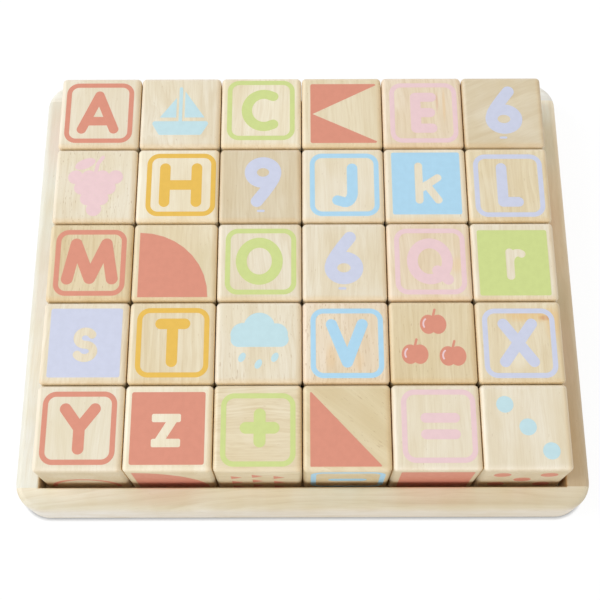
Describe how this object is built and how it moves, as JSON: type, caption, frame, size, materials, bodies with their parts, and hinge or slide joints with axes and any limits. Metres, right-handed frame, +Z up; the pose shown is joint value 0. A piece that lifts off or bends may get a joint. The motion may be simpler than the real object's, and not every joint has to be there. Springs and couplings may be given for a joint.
{
  "type": "alphabet block set in a tray",
  "caption": "Loose wooden cubes with rounded edges stand in rows in a low wooden tray with rounded corners; each cube lifts straight out.",
  "frame": {"origin": "on the surface that the tray stands on, under the centre of the tray", "axes": "+X to the right along the tray's long side, +Y to the back, +Z up; the front rail faces -Y"},
  "size_m": [0.2674, 0.2266, 0.043],
  "materials": {
    "block_wood": "sanded smooth, matt",
    "rail_wood": "sanded smooth, matt",
    "plywood": "sanded, bare"
  },
  "bodies": {
    "tray": {"tray_base": "plywood", "front_rail": "rail_wood", "back_rail": "rail_wood", "left_rail": "rail_wood", "right_rail": "rail_wood"},
    "block_a": {"block_a": "block_wood"},
    "block_b": {"block_b": "block_wood"},
    "block_c": {"block_c": "block_wood"},
    "block_d": {"block_d": "block_wood"},
    "block_e": {"block_e": "block_wood"},
    "block_f": {"block_f": "block_wood"},
    "block_g": {"block_g": "block_wood"},
    "block_h": {"block_h": "block_wood"},
    "block_i": {"block_i": "block_wood"},
    "block_j": {"block_j": "block_wood"},
    "block_k": {"block_k": "block_wood"},
    "block_l": {"block_l": "block_wood"},
    "block_m": {"block_m": "block_wood"},
    "block_n": {"block_n": "block_wood"},
    "block_o": {"block_o": "block_wood"},
    "block_p": {"block_p": "block_wood"},
    "block_q": {"block_q": "block_wood"},
    "block_r": {"block_r": "block_wood"},
    "block_s": {"block_s": "block_wood"},
    "block_t": {"block_t": "block_wood"},
    "block_u": {"block_u": "block_wood"},
    "block_v": {"block_v": "block_wood"},
    "block_w": {"block_w": "block_wood"},
    "block_x": {"block_x": "block_wood"},
    "block_y": {"block_y": "block_wood"},
    "block_z": {"block_z": "block_wood"},
    "block_plus": {"block_plus": "block_wood"},
    "block_triangle": {"block_triangle": "block_wood"},
    "block_equals": {"block_equals": "block_wood"},
    "block_dots": {"block_dots": "block_wood"}
  },
  "joints": [
    {"name": "lift_a", "type": "slide", "parent": "tray", "child": "block_a", "axis": [0, 0, 1], "range_m": [0, 0.05]},
    {"name": "lift_b", "type": "slide", "parent": "tray", "child": "block_b", "axis": [0, 0, 1], "range_m": [0, 0.05]},
    {"name": "lift_c", "type": "slide", "parent": "tray", "child": "block_c", "axis": [0, 0, 1], "range_m": [0, 0.05]},
    {"name": "lift_d", "type": "slide", "parent": "tray", "child": "block_d", "axis": [0, 0, 1], "range_m": [0, 0.05]},
    {"name": "lift_e", "type": "slide", "parent": "tray", "child": "block_e", "axis": [0, 0, 1], "range_m": [0, 0.05]},
    {"name": "lift_f", "type": "slide", "parent": "tray", "child": "block_f", "axis": [0, 0, 1], "range_m": [0, 0.05]},
    {"name": "lift_g", "type": "slide", "parent": "tray", "child": "block_g", "axis": [0, 0, 1], "range_m": [0, 0.05]},
    {"name": "lift_h", "type": "slide", "parent": "tray", "child": "block_h", "axis": [0, 0, 1], "range_m": [0, 0.05]},
    {"name": "lift_i", "type": "slide", "parent": "tray", "child": "block_i", "axis": [0, 0, 1], "range_m": [0, 0.05]},
    {"name": "lift_j", "type": "slide", "parent": "tray", "child": "block_j", "axis": [0, 0, 1], "range_m": [0, 0.05]},
    {"name": "lift_k", "type": "slide", "parent": "tray", "child": "block_k", "axis": [0, 0, 1], "range_m": [0, 0.05]},
    {"name": "lift_l", "type": "slide", "parent": "tray", "child": "block_l", "axis": [0, 0, 1], "range_m": [0, 0.05]},
    {"name": "lift_m", "type": "slide", "parent": "tray", "child": "block_m", "axis": [0, 0, 1], "range_m": [0, 0.05]},
    {"name": "lift_n", "type": "slide", "parent": "tray", "child": "block_n", "axis": [0, 0, 1], "range_m": [0, 0.05]},
    {"name": "lift_o", "type": "slide", "parent": "tray", "child": "block_o", "axis": [0, 0, 1], "range_m": [0, 0.05]},
    {"name": "lift_p", "type": "slide", "parent": "tray", "child": "block_p", "axis": [0, 0, 1], "range_m": [0, 0.05]},
    {"name": "lift_q", "type": "slide", "parent": "tray", "child": "block_q", "axis": [0, 0, 1], "range_m": [0, 0.05]},
    {"name": "lift_r", "type": "slide", "parent": "tray", "child": "block_r", "axis": [0, 0, 1], "range_m": [0, 0.05]},
    {"name": "lift_s", "type": "slide", "parent": "tray", "child": "block_s", "axis": [0, 0, 1], "range_m": [0, 0.05]},
    {"name": "lift_t", "type": "slide", "parent": "tray", "child": "block_t", "axis": [0, 0, 1], "range_m": [0, 0.05]},
    {"name": "lift_u", "type": "slide", "parent": "tray", "child": "block_u", "axis": [0, 0, 1], "range_m": [0, 0.05]},
    {"name": "lift_v", "type": "slide", "parent": "tray", "child": "block_v", "axis": [0, 0, 1], "range_m": [0, 0.05]},
    {"name": "lift_w", "type": "slide", "parent": "tray", "child": "block_w", "axis": [0, 0, 1], "range_m": [0, 0.05]},
    {"name": "lift_x", "type": "slide", "parent": "tray", "child": "block_x", "axis": [0, 0, 1], "range_m": [0, 0.05]},
    {"name": "lift_y", "type": "slide", "parent": "tray", "child": "block_y", "axis": [0, 0, 1], "range_m": [0, 0.05]},
    {"name": "lift_z", "type": "slide", "parent": "tray", "child": "block_z", "axis": [0, 0, 1], "range_m": [0, 0.05]},
    {"name": "lift_plus", "type": "slide", "parent": "tray", "child": "block_plus", "axis": [0, 0, 1], "range_m": [0, 0.05]},
    {"name": "lift_triangle", "type": "slide", "parent": "tray", "child": "block_triangle", "axis": [0, 0, 1], "range_m": [0, 0.05]},
    {"name": "lift_equals", "type": "slide", "parent": "tray", "child": "block_equals", "axis": [0, 0, 1], "range_m": [0, 0.05]},
    {"name": "lift_dots", "type": "slide", "parent": "tray", "child": "block_dots", "axis": [0, 0, 1], "range_m": [0, 0.05]}
  ]
}
